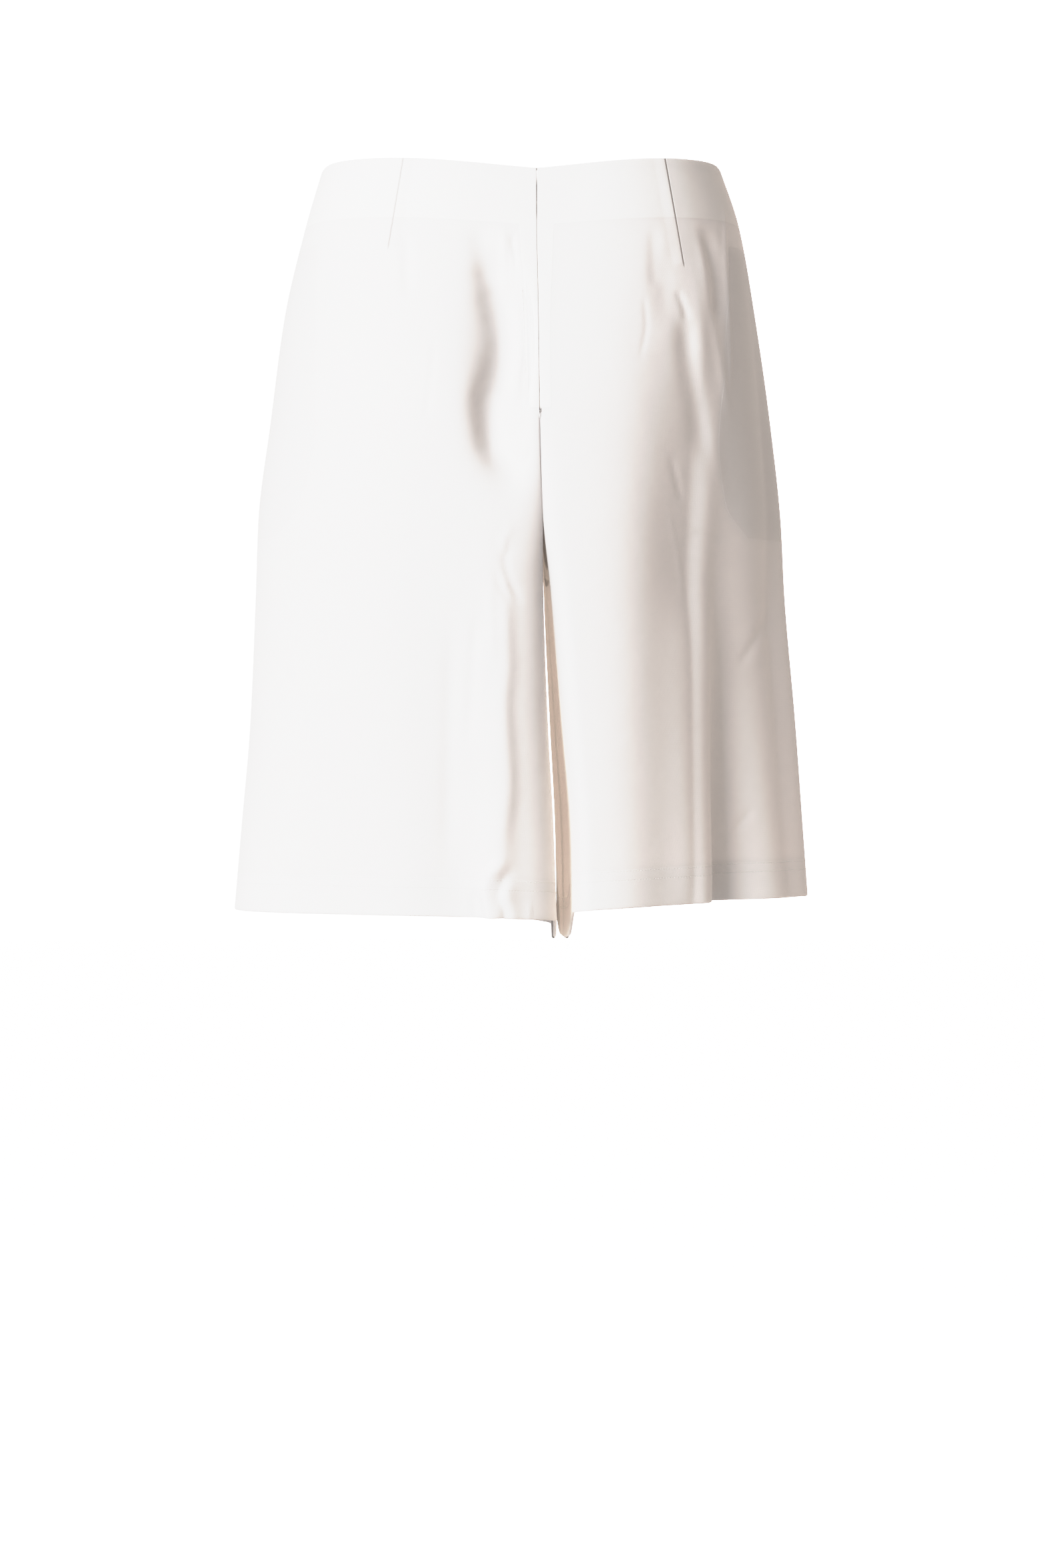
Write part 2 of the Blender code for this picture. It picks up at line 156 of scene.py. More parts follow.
world = bpy.data.worlds.new("studio_air")
bpy.context.scene.world = world
world.use_nodes = True
air = world.node_tree
towards = air.nodes.new("ShaderNodeTexCoord")
side = air.nodes.new("ShaderNodeSeparateXYZ")
air.links.new(towards.outputs["Generated"], side.inputs[0])
sides = air.nodes.new("ShaderNodeMapRange")
sides.inputs["From Min"].default_value = -1
air.links.new(side.outputs["X"], sides.inputs["Value"])
behind = air.nodes.new("ShaderNodeMapRange")
behind.interpolation_type = "SMOOTHSTEP"
behind.inputs["From Min"].default_value = BEHIND_STARTS
behind.inputs["From Max"].default_value = -1
air.links.new(side.outputs["Y"], behind.inputs["Value"])
near_air = air.nodes.new("ShaderNodeMix")
near_air.data_type = "RGBA"
near_air.inputs["A"].default_value = (*AIR_RIGHT, 1)
near_air.inputs["B"].default_value = (*AIR_LEFT, 1)
air.links.new(sides.outputs["Result"], near_air.inputs["Factor"])
all_air = air.nodes.new("ShaderNodeMix")
all_air.data_type = "RGBA"
all_air.inputs["B"].default_value = (*AIR_BEHIND, 1)
air.links.new(near_air.outputs["Result"], all_air.inputs["A"])
air.links.new(behind.outputs["Result"], all_air.inputs["Factor"])
air.links.new(all_air.outputs["Result"], air.nodes["Background"].inputs["Color"])

# ---------------------------------------------------------------------------------------------------
# The worn shape. The cloth hangs from the waist over the seat, and the legs fall in soft folds. It is
# described by its horizontal sections, as in the part, with the folds pressed in.
LENGTH = 540.0
Ring = namedtuple(
    "Ring",
    "depth left right centre_back gap_back centre_front gap_front "
    "back front side_left side_right turn_left turn_right drop",
)
RINGS = (
    Ring(0, 143, -141, -10, 0.04, -10, 0.04, 95, -94, 0, 0, 30, 30, 0),
    Ring(45, 156, -156, -10, 0.04, -10, 0.04, 105, -101, 2, 0, 30, 30, 0),
    Ring(110, 171, -168, -11, 0.04, -11, 0.04, 119, -107, 4, -3, 28, 26, 0.6),
    Ring(185, 181, -179, -12, 0.04, -12, 0.04, 129, -109, 5, -7, 26, 18, 1.5),
    Ring(256, 190, -187, -14, 0.04, -14, 0.04, 126, -109, 4, -12, 30, 15, 8),
    Ring(310, 192, -190, -17, 5, -15.5, 0.8, 121, -108, 2, -16, 36, 14, 22),
    Ring(400, 196, -198, -22.5, 9.5, -19.5, 1.2, 113, -107, 0, -20, 42, 14, 28),
    Ring(480, 203, -204, -28, 12, -23, 2, 106, -106, -3, -23, 44, 14, 30),
    Ring(560, 210, -210, -30, 10, -24.5, 2, 100, -105, -6, -26, 44, 14, 30),
)
SIDE_SQUARENESS = 2.25
SEAT_SEAM_DEPTH, CROTCH_DEPTH, INSEAM_Y = 185.0, 256.0, -8.0
ROW_AT_SEAT, ROW_AT_CROTCH = SEAT_SEAM_DEPTH / LENGTH, 0.5

Edge = namedtuple("Edge", "share rise")
WAIST_EDGE = {
    "back": (Edge(0, -8), Edge(0.2, -3.5), Edge(0.45, -5), Edge(1, -15)),
    "front": (Edge(0, -8), Edge(0.4, -8.5), Edge(1, -14)),
}
HEM_EDGE = {
    ("left", "back"): (Edge(0, 5), Edge(0.35, 2), Edge(0.66, -7), Edge(0.78, -13), Edge(1, -16)),
    ("left", "front"): (Edge(0, 5), Edge(0.35, -2), Edge(0.7, -17), Edge(1, -16)),
    ("right", "back"): (Edge(0, 14), Edge(0.3, 10), Edge(0.5, 4), Edge(0.75, -13), Edge(1, -16)),
    ("right", "front"): (Edge(0, 14), Edge(0.35, 4), Edge(0.7, -15), Edge(1, -16)),
}
WAIST_FADE, HEM_FADE = 0.3, 0.4

Fold = namedtuple("Fold", "leg face start end x_start x_end near far sink hanging")
FOLDS = (
    Fold("right", "back", 30, 560, -150, -168, 24, 32, 54, True),
    Fold("right", "back", 60, 330, -124, -125, 36, 17, 22, True),
    Fold("right", "back", 45, 150, -98, -102, 9, 9, 3, False),
    Fold("right", "back", 60, 210, -122, -132, 8, 8, -3, False),
    Fold("left", "back", 60, 270, 18, 8, 12, 22, 15, False),
    Fold("left", "back", 190, 560, 26, 14, 10, 12, -5, True),
    Fold("left", "back", 240, 560, 60, 44, 18, 26, 6, True),
    Fold("left", "back", 120, 560, 150, 120, 40, 30, 3, True),
    Fold("left", "front", 200, 560, 120, 128, 30, 26, 9, True),
    Fold("left", "front", 260, 560, 40, 44, 22, 22, 5, True),
    Fold("right", "front", 200, 560, -120, -126, 28, 26, 10, True),
    Fold("right", "front", 260, 560, -56, -62, 20, 22, 5, True),
    Fold("left", "front", 60, 230, 70, 40, 16, 16, 3, False),
    Fold("right", "front", 60, 230, -86, -60, 16, 16, 3, False),
)
SIDE_FLAT, SIDE_REST, SEAM_REST = 4.0, 30.0, 9.0
LEVEL_STEP, NORMAL_STEP = 4.0, 1.5
LEVELS = np.arange(0.0, 581.0, LEVEL_STEP)
FINE = 480


def follow(places, values, at):
    """A smooth curve through a table's column, which never runs past the values on either side."""
    places, values = np.asarray(places, float), np.asarray(values, float)
    slopes = np.diff(values) / np.diff(places)
    tangents = np.zeros_like(values)
    before, after = slopes[:-1], slopes[1:]
    same_way = before * after > 0
    tangents[1:-1][same_way] = (2 * before * after)[same_way] / (before + after)[same_way]
    tangents[0], tangents[-1] = slopes[0], slopes[-1]
    at = np.clip(at, places[0], places[-1])
    cell = np.clip(np.searchsorted(places, at, side="right") - 1, 0, len(slopes) - 1)
    width = np.diff(places)[cell]
    t = (at - places[cell]) / width
    return (
        values[cell] * (1 + 2 * t) * (1 - t) ** 2
        + tangents[cell] * width * t * (1 - t) ** 2
        + values[cell + 1] * t * t * (3 - 2 * t)
        + tangents[cell + 1] * width * t * t * (t - 1)
    )


def ring(column, depth):
    return follow([r.depth for r in RINGS], [getattr(r, column) for r in RINGS], depth)


def ease(t):
    t = np.clip(t, 0, 1)
    return t * t * (3 - 2 * t)


def section(leg, face, depth, around):
    """The cloth's outer face at these depths. around runs from 0 at the side seam, past 1 at the crest of
    seat or belly and 2 at the end of the turn, to 3 at the inseam."""
    way = 1 if leg == "left" else -1
    other = "front" if face == "back" else "back"
    sink = 1 if face == "back" else -1
    crest = ring(face, depth)
    side = ring("side_" + leg, depth)
    outer = ring(leg, depth)
    inner = ring("centre_" + face, depth) + way * ring("gap_" + face, depth) / 2
    across = ring("centre_" + other, depth) + way * ring("gap_" + other, depth) / 2
    turn = way * ring("turn_" + leg, depth)
    drop = ring("drop", depth)
    top = inner + turn

    angle = np.clip(around, 0, 1) * math.pi / 2
    power = 2 / SIDE_SQUARENESS
    x = top + (outer - top) * np.cos(angle).clip(0) ** power
    y = side + (crest - side) * np.sin(angle) ** power

    t = np.clip(around - 1, 0, 1)
    spread = turn / 2 * np.clip(1 - drop / abs(turn), 0, 1) ** 3
    x = np.where(around > 1, (1 - t) ** 2 * top + 2 * t * (1 - t) * (inner + spread) + t * t * inner, x)
    y = np.where(around > 1, crest - sink * t * t * drop, y)

    t = np.clip(around - 2, 0, 1)
    wall = crest - sink * drop
    far_end = ring(other, depth) + sink * drop
    share = (INSEAM_Y - wall) / (far_end - wall)
    x = np.where(around > 2, inner + (across - inner) * share * t, x)
    y = np.where(around > 2, wall + (INSEAM_Y - wall) * t, y)
    return x, y


def folded(leg, face, depth, x, y):
    """Presses the folds into these sections, along each point's own direction outwards."""
    way = 1 if leg == "left" else -1
    turned = 1 if face == "back" else -1
    dx, dy = np.gradient(x, axis=1), np.gradient(y, axis=1)
    run = np.hypot(dx, dy) + 1e-9
    out_x, out_y = dy / run * way * turned, -dx / run * way * turned
    along = np.cumsum(run, axis=1)
    wall_start = along[:, [2 * FINE // 3]]
    rest = ease((along - SIDE_FLAT) / SIDE_REST) * ease((wall_start - along) / SEAM_REST)
    push = np.zeros_like(x)
    for fold in FOLDS:
        if (fold.leg, fold.face) != (leg, face):
            continue
        t = np.clip((depth - fold.start) / (fold.end - fold.start), 0, 1)
        swell = ease(t) if fold.hanging else np.sin(math.pi * t) ** 2
        outwards = (x - fold.x_start - (fold.x_end - fold.x_start) * t) * way
        width = np.where(outwards < 0, fold.near, fold.far)
        push -= fold.sink * swell * np.exp(-((outwards / width) ** 2))
    return x + out_x * push * rest, y + out_y * push * rest


class Panel:
    """The worn surface of one cut panel. share is 0 at the side seam, 1 at the centre and, below the seat
    seam, 2 at the seam on the leg's inner face. row is 0 at the waist and 1 at the hem."""

    def __init__(self, leg, face):
        self.leg, self.face = leg, face
        self.outwards = 1 if (leg == "left") == (face == "back") else -1
        around = np.linspace(0, 3, FINE + 1)[None, :]
        depth = LEVELS[:, None]
        x, y = folded(leg, face, depth, *section(leg, face, depth, around))
        half = 2 * FINE // 3
        even = np.linspace(0, 1, FINE // 2 + 1)
        places, lengths = [], []
        for row_x, row_y in zip(x, y):
            line, length = [], []
            for part in (slice(0, half + 1), slice(half, FINE + 1)):
                px, py = row_x[part], row_y[part]
                along = np.concatenate([[0], np.cumsum(np.hypot(np.diff(px), np.diff(py)))])
                spaced = [np.interp(even * along[-1], along, px), np.interp(even * along[-1], along, py)]
                line.append(np.array(spaced))
                length.append(along[-1])
            places.append(np.concatenate([line[0], line[1][:, 1:]], axis=1))
            lengths.append(length)
        self.places, self.lengths = np.array(places), np.array(lengths)

    def lie(self, share, row):
        """Where these places are, in mm: along the cloth from the side seam, down from the waist, and how
        long the cloth is there."""
        curve = np.clip((row - ROW_AT_SEAT) / (ROW_AT_CROTCH - ROW_AT_SEAT), 0, 1) * math.pi / 2
        reach = 1 - np.cos(curve)
        below = np.clip((row - ROW_AT_CROTCH) / (1 - ROW_AT_CROTCH), 0, 1)
        seam_depth = SEAT_SEAM_DEPTH + (CROTCH_DEPTH - SEAT_SEAM_DEPTH) * np.sin(curve)
        seam_depth += (LENGTH - CROTCH_DEPTH) * below
        inward = np.clip(share - 1, 0, 1) * (row > ROW_AT_SEAT)
        depth = row * LENGTH + (seam_depth - row * LENGTH) * inward
        whole = share / (1 + reach)
        depth -= follow(*zip(*WAIST_EDGE[self.face]), whole) * (1 - ease(row / WAIST_FADE))
        hem = HEM_EDGE[self.leg, self.face]
        depth -= follow(*zip(*hem), whole) * ease((row - 1 + HEM_FADE) / HEM_FADE)
        outside, inside = self.width(depth), self.width(depth, inner=1)
        return np.clip(share, 0, 1) * outside + inward * reach * inside, depth, outside + reach * inside

    def width(self, depth, inner=0):
        """Length of the cloth around the outside of the section, or across the leg's inner face."""
        return np.interp(depth, LEVELS, self.lengths[:, inner])

    def read(self, along, depth):
        outside = self.width(depth)
        inner = (along - outside) / self.width(depth, inner=1)
        across = np.where(along < outside, along / outside, 1 + inner)
        level = np.clip(depth / LEVEL_STEP, 0, len(LEVELS) - 1.001)
        column = np.clip(across * FINE / 2, 0, FINE - 0.001)
        i, j = level.astype(int), column.astype(int)
        a, b = level - i, column - j
        flat = []
        for grid in (self.places[:, 0], self.places[:, 1]):
            top = grid[i, j] * (1 - b) + grid[i, j + 1] * b
            bottom = grid[i + 1, j] * (1 - b) + grid[i + 1, j + 1] * b
            flat.append(top * (1 - a) + bottom * a)
        return np.stack([flat[0], flat[1], -depth], axis=-1)

    def facing_out(self, mesh):
        """More than 0 if most of a mesh's area faces the way that this panel does."""
        towards = sum(face.normal.y * face.calc_area() for face in mesh.faces)
        return towards if self.face == "back" else -towards

    def lay(self, along, depth):
        """Points of the panel's outer face, and the directions outwards there. Above the crotch seam a
        direction is taken from the cloth short of the edge, where the section turns in between the legs."""
        point = self.read(along, depth)
        limit = self.width(depth - NORMAL_STEP) - NORMAL_STEP
        along = np.where(depth < SEAT_SEAM_DEPTH, np.minimum(along, limit), along)
        right = self.read(along + NORMAL_STEP, depth) - self.read(along - NORMAL_STEP, depth)
        down = self.read(along, depth + NORMAL_STEP) - self.read(along, depth - NORMAL_STEP)
        normal = np.cross(down, right) * self.outwards
        return point, normal / np.linalg.norm(normal, axis=-1, keepdims=True)

# ---------------------------------------------------------------------------------------------------
# The creases. Crepe hangs smoothly, so only a few show: a deep bend left of the centre back, tucks where
# the darts end, a hollow over the right hip, crumples low on the left leg and a kink at its hem. A path
# runs down the cloth through its places (x, depth). The rise is negative for a trough.
Crease = namedtuple("Crease", "leg face width rise path")
MAIN_BEND = (
    (19, 58), (18, 96), (13, 116), (8, 138), (12, 158), (20, 182), (18, 208), (8, 228), (-5, 244),
)
LEG_RIDGE = ((13, 285), (12, 340), (11, 363), (13, 386), (10, 447), (13, 479), (14, 500))
HIP_RIDGE = ((-120, 48), (-125, 70), (-128, 89), (-131, 112), (-137, 140), (-148, 200))
CREASES = (
    Crease("left", "back", 13, -9.5, MAIN_BEND),
    Crease("left", "back", 2.6, 1.2, ((13, 56), (13, 112))),
    Crease("left", "back", 1.3, -1.2, ((0, 59), (5, 62), (7, 66), (5, 84), (6, 116))),
    Crease("left", "back", 4, -1.4, ((80, 58), (81, 84), (80, 110))),
    Crease("left", "back", 9, -2.4, ((31, 52), (28, 75), (25, 100))),
    Crease("left", "back", 5, 2.2, ((2, 118), (2, 146), (3, 176))),
    Crease("left", "back", 4.5, 2.0, ((10, 172), (9, 195), (6, 222))),
    Crease("left", "back", 1.6, -0.9, ((-7, 212), (-1, 222), (8, 225))),
    Crease("left", "back", 2.6, 0.8, ((6, 266), (13, 277), (12, 288))),
    Crease("left", "back", 3.0, -0.9, ((6, 274), (12, 289), (9, 303), (0, 322))),
    Crease("left", "back", 2.4, -0.8, ((19, 296), (16, 307), (9, 320))),
    Crease("left", "back", 6, 2.2, LEG_RIDGE),
    Crease("left", "back", 6, -1.3, ((49, 320), (51, 420), (52, 515))),
    Crease("left", "back", 4, -1.0, ((31, 320), (35, 370), (38, 424))),
    Crease("left", "back", 3.5, 0.9, ((23, 300), (21, 362))),
    Crease("left", "back", 3.6, 3.0, ((9, 496), (21, 506), (26, 519), (23, 535), (21, 556))),
    Crease("left", "back", 4.0, -2.6, ((4, 502), (13, 513), (17, 523), (12, 535), (14, 556))),
    Crease("left", "back", 3.6, -1.4, ((34, 516), (33, 530), (35, 556))),
    Crease("left", "back", 1.0, 0.8, ((-5, 526), (-4, 556))),
    Crease("left", "back", 3, -0.7, ((184, 340), (160, 382), (144, 437), (136, 482))),
    Crease("left", "back", 3, 0.8, ((161, 484), (159, 498), (161, 512))),
    Crease("left", "back", 2.5, -0.4, ((60, 130), (64, 170), (68, 200))),
    Crease("right", "back", 9, 1.4, ((-98, 46), (-99, 90), (-102, 150))),
    Crease("right", "back", 4, -0.8, ((-92, 54), (-91, 75), (-91, 104))),
    Crease("right", "back", 2.2, -1.3, ((-107, 100), (-112, 111), (-116, 123))),
    Crease("right", "back", 3.2, 1.1, HIP_RIDGE),
    Crease("right", "back", 5, -3.2, ((-126, 50), (-133, 70), (-137, 93), (-138, 124))),
    Crease("right", "back", 1.3, 1.0, ((-140, 24), (-143, 39), (-143, 67), (-145, 107), (-147, 180))),
    Crease("right", "back", 8, -3.0, ((-112, 112), (-119, 158), (-125, 196), (-130, 224))),
    Crease("right", "back", 4, 0.5, ((-124, 145), (-132, 196), (-138, 224), (-144, 246))),
    Crease("right", "back", 1.5, -0.7, ((-112, 265), (-130, 270), (-152, 273))),
    Crease("right", "back", 12, 3, ((-131, 290), (-134, 400), (-139, 500), (-144, 575))),
    Crease("right", "back", 14, 4.5, ((-112, 285), (-114, 420), (-116, 575))),
    Crease("right", "back", 1.4, 0.4, ((-101, 248), (-105, 270), (-109, 287), (-112, 320))),
    Crease("right", "back", 2.4, -0.9, ((-103, 215), (-112, 250))),
    Crease("right", "back", 1.8, -0.5, ((-84, 104), (-86, 126), (-81, 152))),
    Crease("right", "back", 3.4, -1.1, ((-178, 318), (-168, 340), (-152, 364))),
    Crease("right", "back", 3.0, -1.0, ((-166, 462), (-156, 472), (-148, 484))),
    Crease("left", "front", 7, -2.0, ((60, 60), (52, 110), (40, 150))),
    Crease("left", "front", 4, -1.2, ((-2, 190), (14, 214), (34, 226))),
    Crease("left", "front", 5, -1.2, ((70, 300), (66, 400), (64, 500))),
    Crease("right", "front", 6, -1.8, ((-74, 60), (-66, 100), (-52, 140))),
    Crease("right", "front", 3.5, -1.0, ((-18, 196), (-34, 220), (-52, 230))),
    Crease("right", "front", 5, -1.2, ((-84, 320), (-86, 400), (-82, 510))),
)
PATH_STEPS = 24


def stroke(x, depth, path, width):
    """How far each place feels a crease: 1 on its line, less to its sides and towards both of its ends."""
    line_x, line_depth = np.array(path, float).T
    run = np.concatenate([[0], np.cumsum(np.hypot(np.diff(line_x), np.diff(line_depth)))])
    at = np.linspace(0, run[-1], PATH_STEPS + 1)
    line = np.stack([follow(run, line_x, at), follow(run, line_depth, at)], axis=-1)
    step = np.diff(line, axis=0)
    reach = 3 * width
    near = (x > line_x.min() - reach) & (x < line_x.max() + reach)
    near &= (depth > line_depth[0] - reach) & (depth < line_depth[-1] + reach)
    place = np.stack([x[near], depth[near]], axis=-1)[:, None, :]
    share = (((place - line[:-1]) * step).sum(axis=-1) / (step**2).sum(axis=-1)).clip(0, 1)
    apart = np.linalg.norm(place - line[:-1] - share[..., None] * step, axis=-1)
    closest = apart.argmin(axis=1)
    each = np.arange(len(closest))
    t = (closest + share[each, closest]) / PATH_STEPS
    felt = np.zeros_like(x)
    felt[near] = ease(4 * t) * ease(4 * (1 - t)) * np.exp(-((apart[each, closest] / width) ** 2))
    return felt


# ---------------------------------------------------------------------------------------------------
# The four panels, of white stretch crepe. Their seams are pressed open, with the allowances turned in,
# and the top edge is turned in over the facing. The hem is turned up 26 mm on the inside. Facing, hem
# and zip tape show through the cloth as a paler, slightly raised field. The pocket bag shows as a
# slightly raised field with painted shade, and the groove along each dart has painted shade too.
# The third colour is painted shade: a darker tint mixed in over the pocket bag and in the groove of each
# dart.
CREPE, CREPE_BACKED, PAINTED_SHADE = (0.81, 0.8, 0.795), (0.9, 0.895, 0.885), (0.66, 0.62, 0.58)
THROUGH, SHEERNESS = (0.95, 0.915, 0.88), 0.34  # the light that comes through the cloth
PEBBLES, CREPE_WEAVE, RIPPLES, SAGS = 1300, 420, 55, 14  # how close each lies, finer with more
CLOTH = 0.6  # of a single layer, pressed
SEAM_TURN, SEAM_ALLOWANCE, SEAM_GAP = 0.7, (8.0, 4.5, 1.5), -0.03
WAIST_TURN, WAIST_ALLOWANCE = 0.7, (7.0, 3.0)
HEM_TURN, HEM_DEPTH, HEM_ALLOWANCE = 1.1, 27.6, (26.0, 22.0, 17.0, 12.0, 7.0, 2.5)
STITCH_ROWS = (26.4, 20.0)  # above the hem's edge
FACING_DEPTH, TAPE_SHOWS = 44.0, 8.0
FAR_OUT = -50.0  # a mark's value where nothing of its kind is near
ZIP_GAP, ZIP_GAP_TOP, ZIP_GAP_BOTTOM, ZIP_GAP_FADE = 0.3, 7.0, 40.0, 6.0
BAG_TOP, BAG_BOTTOM, BAG_SEAM = 62.0, 270.0, 1.5
Reach = namedtuple("Reach", "down across")
BAG_OUTLINE = (Reach(0, 60), Reach(0.35, 84), Reach(0.7, 96), Reach(0.9, 86), Reach(1, 62))
Dart = namedtuple("Dart", "top_x top_depth tip_x tip_depth")
DARTS = {"left": Dart(84, 10, 94, 73), "right": Dart(-101, 12, -113, 84)}
BACK_COLUMNS = ((0.12, 14), (0.62, 50), (1.0, 60), (2.0, 40))  # up to this share, with this many columns
FRONT_COLUMNS = ((0.12, 10), (0.7, 36), (1.0, 26), (2.0, 26))
BACK_ROWS, FRONT_ROWS = 205, 150
TURN_STEPS, CREASE_REST = 6, 6.0
TUCKED = 0.25  # how much of a corner's second fold adds to its depth

Line = namedtuple("Line", "at shift inset extra")  # a column or a row of a cloth's grid


def turned_edge(at, turn, allowance, inwards, gap=0.0):
    """Columns or rows that fold a cloth's edge back under itself, from the raw edge to the outer face.
    inwards is 1 where the cloth lies on the far side of its first line, and -1 for its last."""
    lines = []
    for under in allowance:
        lines.append(Line(at, inwards * (gap + turn + under), 2 * turn, -inwards * (math.pi * turn + under)))
    for angle in np.linspace(math.pi, 0, TURN_STEPS + 1):
        shift = gap + turn * (1 - math.sin(angle))
        lines.append(Line(at, inwards * shift, turn * (1 - math.cos(angle)), -inwards * turn * angle))
    return lines if inwards == 1 else lines[::-1]


def spaced(bands):
    """Columns or rows between a cloth's edges, in bands of even steps."""
    lines, start = [], 0.0
    for end, count in bands:
        for share in np.linspace(start, end, count, endpoint=False):
            lines.append(Line(share, 0, 0, 0))
        start = end
    return lines[1:]


def relief(panel, x, depth, at, along, end):
    """How far the creases raise the cloth at these places. It stays flat beside the seams."""
    rise = np.zeros_like(x)
    for crease in CREASES:
        if (crease.leg, crease.face) == (panel.leg, panel.face):
            rise += crease.rise * stroke(x, depth, crease.path, crease.width)
    return rise * ease(along / CREASE_REST) * ease((end - along) / CREASE_REST) * ease(2 - at)


def press(panel, columns, rows, inset=0.0):
    """Lays the grid that these columns and rows make on a panel, with its creases. Returns the corners'
    points, and their places across and down the cloth in mm."""
    at, shift, under, extra = np.array(columns).T[:, :, None]
    row, fall, row_under, row_extra = np.array(rows).T[:, None, :]
    along, depth, end = panel.lie(at, row)
    flat = along + extra
    if panel.face == "back":
        opening = ease((row * LENGTH - ZIP_GAP_TOP) / ZIP_GAP_FADE)
        opening *= ease((ZIP_GAP_BOTTOM - row * LENGTH) / ZIP_GAP_FADE)
        end = end - opening * ZIP_GAP / 2
    edge = SEAM_TURN + SEAM_GAP
    along = np.where((at > 0) & (at < 2), along.clip(edge, end - edge), np.where(at < 1, 0, end) + shift)
    depth = depth + fall
    point, normal = panel.lay(along, depth)
    fold = np.maximum(under, row_under) + TUCKED * np.minimum(under, row_under)
    out = relief(panel, point[..., 0], depth, at, along, end) - fold - inset
    return point + normal * out[..., None], flat, row * LENGTH + row_extra + 0 * at


def cut_cloth(name, panel, place, thickness, material, marks):
    """A piece of cloth with its grid's corners at these points, across and down as press gives them. marks
    are the fields that its material reads. Its flat size is that of its cut."""
    point, across, down = place
    columns, rows = across.shape
    mesh = bmesh.new()
    bmesh.ops.create_grid(mesh, x_segments=columns - 1, y_segments=rows - 1, size=0.5)
    fields = [(mesh.verts.layers.float.new(key), value) for key, value in marks.items()]
    cut = mesh.loops.layers.uv.new("cut")
    corner = {}
    for vert in mesh.verts:
        corner[vert] = i, j = round((vert.co.x + 0.5) * (columns - 1)), round((vert.co.y + 0.5) * (rows - 1))
        for layer, value in fields:
            vert[layer] = value[i, j]
    for face in mesh.faces:
        for loop in face.loops:
            i, j = corner[loop.vert]
            loop[cut].uv = (across[i, j] * MM, down[i, j] * MM)
    for vert, (i, j) in corner.items():
        vert.co = point[i, j] * MM
    bmesh.ops.remove_doubles(mesh, verts=mesh.verts[:], dist=0.00001)
    mesh.normal_update()
    if panel.facing_out(mesh) < 0:
        bmesh.ops.reverse_faces(mesh, faces=mesh.faces[:])
    piece = as_piece(name, mesh, material)
    wall = piece.modifiers.new("wall", "SOLIDIFY")
    wall.thickness = thickness * MM
    wall.offset = -1
    return piece


def as_piece(name, mesh, material):
    data = bpy.data.meshes.new(name)
    mesh.to_mesh(data)
    mesh.free()
    data.shade_smooth()
    data.materials.append(material)
    piece = bpy.data.objects.new(name, data)
    bpy.context.scene.collection.objects.link(piece)
    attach(piece, "root")
    return piece


def node(tree, kind, inputs, **settings):
    """A shader node with its inputs set, or joined to other nodes' sockets."""
    made = tree.nodes.new(kind)
    for key, value in settings.items():
        setattr(made, key, value)
    for socket, value in inputs.items():
        if isinstance(value, bpy.types.NodeSocket):
            tree.links.new(value, made.inputs[socket])
        else:
            made.inputs[socket].default_value = value
    return made.outputs[0]


def total(tree, *parts):
    """The sum of sockets, each with its factor."""
    result = 0.0
    for socket, factor in parts:
        inputs = {0: socket, 1: factor, 2: result}
        result = node(tree, "ShaderNodeMath", inputs, operation="MULTIPLY_ADD")
    return result


def field(tree, key, start, end):
    """0 to 1 as a cloth's mark goes from start to end, in mm."""
    mark = node(tree, "ShaderNodeAttribute", {}, attribute_name=key).node.outputs["Fac"]
    limits = {"Value": mark, "From Min": start, "From Max": end}
    return node(tree, "ShaderNodeMapRange", limits, interpolation_type="SMOOTHSTEP")


def product(tree, first, second):
    return node(tree, "ShaderNodeMath", {0: first, 1: second}, operation="MULTIPLY")


def threads(tree, cut, scale, direction):
    inputs = {"Vector": cut, "Scale": scale, "Distortion": 1.5, "Detail": 1}
    return node(tree, "ShaderNodeTexWave", inputs, bands_direction=direction)


def finish_cloth(tree, height, colour, backed_colour, fuller, roughness, shaded=0.0):
    """Joins up a cloth's shader: its relief in metres, its tints, a painted shade where shaded is above 0,
    and the light that passes through.
    """
    shader = tree.nodes["Principled BSDF"]
    bump = node(tree, "ShaderNodeBump", {"Height": height, "Distance": 1.0, "Strength": 1.0})
    tree.links.new(bump, shader.inputs["Normal"])
    tints = {"Factor": fuller, "A": (*colour, 1), "B": (*backed_colour, 1)}
    tint = node(tree, "ShaderNodeMix", tints, data_type="RGBA").node.outputs["Result"]
    # Painted shade: the tint is darkened where shaded is above 0, over the pocket bag and in the dart's
    # groove.
    tints = {"Factor": shaded, "A": tint, "B": (*PAINTED_SHADE, 1)}
    tint = node(tree, "ShaderNodeMix", tints, data_type="RGBA").node.outputs["Result"]
    tree.links.new(tint, shader.inputs["Base Color"])
    tree.links.new(roughness, shader.inputs["Roughness"])
    shader.inputs["Specular IOR Level"].default_value = 0.3
    shader.inputs["Sheen Weight"].default_value = 0.12
    shader.inputs["Sheen Roughness"].default_value = 0.4
    through = tree.nodes.new("ShaderNodeBsdfTranslucent")
    through.inputs["Color"].default_value = (*THROUGH, 1)
    both = tree.nodes.new("ShaderNodeMixShader")
    both.inputs["Fac"].default_value = SHEERNESS
    tree.links.new(shader.outputs["BSDF"], both.inputs[1])
    tree.links.new(through.outputs["BSDF"], both.inputs[2])
    tree.links.new(both.outputs["Shader"], tree.nodes["Material Output"].inputs["Surface"])


